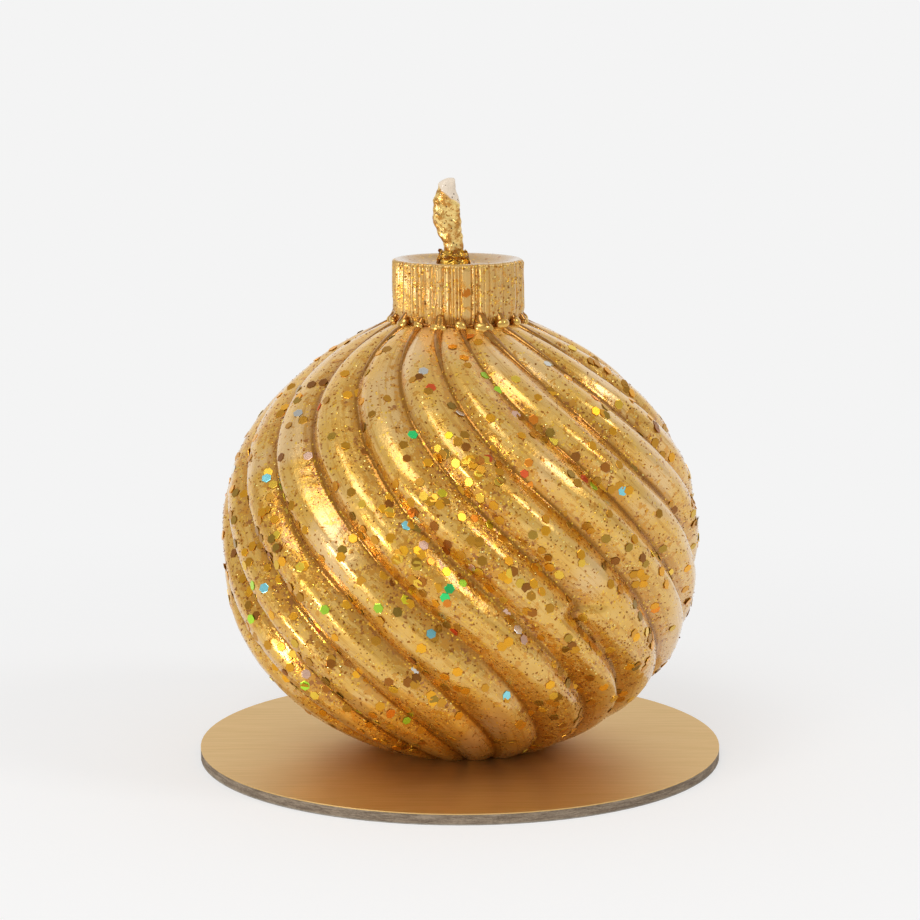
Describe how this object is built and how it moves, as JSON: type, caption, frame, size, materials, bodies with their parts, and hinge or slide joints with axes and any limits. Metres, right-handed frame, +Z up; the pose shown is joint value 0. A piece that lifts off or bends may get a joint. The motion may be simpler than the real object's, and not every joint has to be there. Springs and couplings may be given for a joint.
{
  "type": "bauble candle",
  "caption": "Round candle cast like a swirled bauble with a fluted cap and a short wick, standing loose on a flat round cake board.",
  "frame": {"origin": "middle of the board's underside, on the surface it stands on", "axes": "+Z up along the candle, front of the object faces -Y, +X to the right seen from the front"},
  "size_m": [0.1, 0.1, 0.1108],
  "materials": {
    "gold_wax": "wax under a glossy gold lacquer with hexagonal and fine glitter",
    "gold_lacquer": "thick pooled glossy gold lacquer with glitter",
    "wick_lacquered": "waxed cotton under flaky gold lacquer, bare and white at the tip",
    "wick_cotton": "waxed braided cotton",
    "tab_metal": "stamped tinplate",
    "board_foil": "gold foil laminated on paper, finely brushed",
    "board_card": "raw fibrous cut edge",
    "board_paper": "plain lining paper"
  },
  "bodies": {
    "board": {"board_liner": "board_paper", "board_core": "board_card", "board_foil": "board_foil"},
    "candle": {"wax_ball": "gold_wax", "wax_cap": "gold_wax", "cap_lacquer_beads": "gold_lacquer", "wick_root_lacquer": "gold_lacquer", "wick_core": "wick_cotton", "wick_tab": "tab_metal"},
    "wick": {"wick_tip": "wick_lacquered"}
  },
  "joints": [
    {"name": "candle_lift", "type": "slide", "parent": "board", "child": "candle", "axis": [0, 0, 1], "range_m": [0, 0.12]},
    {"name": "wick_bend", "type": "hinge", "parent": "candle", "child": "wick", "pos_m": [-0.00127, 0, 0.0973], "axis": [0, 1, 0], "range_deg": [-25, 25]}
  ]
}
